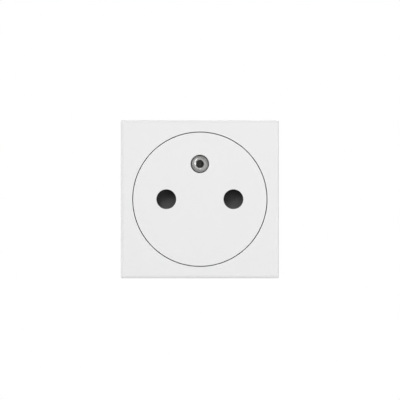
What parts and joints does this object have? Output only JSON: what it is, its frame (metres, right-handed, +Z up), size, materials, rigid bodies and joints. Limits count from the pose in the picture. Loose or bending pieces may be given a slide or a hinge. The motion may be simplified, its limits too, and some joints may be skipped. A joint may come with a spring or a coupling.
{
  "type": "surface socket",
  "caption": "Square module socket outlet: a sprung round disc level with its bezel, shuttered pin holes, a fixed earth pin, snap tongues and push-in rear terminals.",
  "frame": {"origin": "centre of the disc's front face, midway between the pin holes and level with the bezel", "axes": "-Y out of the face towards the plug, +Z up with the earth pin above the pin holes, +X to the right seen from in front"},
  "size_m": [0.0448, 0.042, 0.0448],
  "materials": {
    "face_white": "satin moulded white",
    "body_grey": "matt moulded light grey",
    "shutter_grey": "matt moulded dark grey",
    "button_grey": "matt moulded mid grey",
    "nickel": "turned and nickel plated",
    "brass": "stamped strip",
    "spring_steel": "bright spring steel"
  },
  "bodies": {
    "module": {"front_bezel": "face_white", "housing": "body_grey", "rear_cover": "body_grey", "cover_screw_left": "spring_steel", "cover_screw_right": "spring_steel", "live_contact": "brass", "neutral_contact": "brass", "live_pressure_clip": "spring_steel", "neutral_pressure_clip": "spring_steel", "earth_pin": "nickel", "earth_strap": "brass", "live_clamp_spring": "spring_steel", "neutral_clamp_spring": "spring_steel", "earth_clamp_spring": "spring_steel", "return_spring_left": "spring_steel", "return_spring_right": "spring_steel", "return_spring_lower": "spring_steel"},
    "carriage": {"front_disc": "face_white", "shutter_retainer": "body_grey", "shutter_spring": "spring_steel"},
    "shutter_body": {"shutter": "shutter_grey"},
    "live_button_body": {"live_release_button": "button_grey"},
    "neutral_button_body": {"neutral_release_button": "button_grey"},
    "earth_button_body": {"earth_release_button": "button_grey"}
  },
  "joints": [
    {"name": "disc_retract", "type": "slide", "parent": "module", "child": "carriage", "axis": [0, 1, 0], "range_m": [0, 0.015], "stiffness_N_per_m": 400, "springref_m": -0.015, "deforming": ["return_spring_left", "return_spring_right", "return_spring_lower"]},
    {"name": "shutter_slide", "type": "slide", "parent": "carriage", "child": "shutter_body", "axis": [0, 0, -1], "range_m": [0, 0.0057], "stiffness_N_per_m": 40, "springref_m": -0.004, "deforming": ["shutter_spring"]},
    {"name": "live_release", "type": "slide", "parent": "module", "child": "live_button_body", "axis": [0, -1, 0], "range_m": [0, 0.0018], "stiffness_N_per_m": 500, "springref_m": -0.001, "deforming": ["live_clamp_spring"]},
    {"name": "neutral_release", "type": "slide", "parent": "module", "child": "neutral_button_body", "axis": [0, -1, 0], "range_m": [0, 0.0018], "stiffness_N_per_m": 500, "springref_m": -0.001, "deforming": ["neutral_clamp_spring"]},
    {"name": "earth_release", "type": "slide", "parent": "module", "child": "earth_button_body", "axis": [0, -1, 0], "range_m": [0, 0.0018], "stiffness_N_per_m": 500, "springref_m": -0.001, "deforming": ["earth_clamp_spring"]}
  ]
}
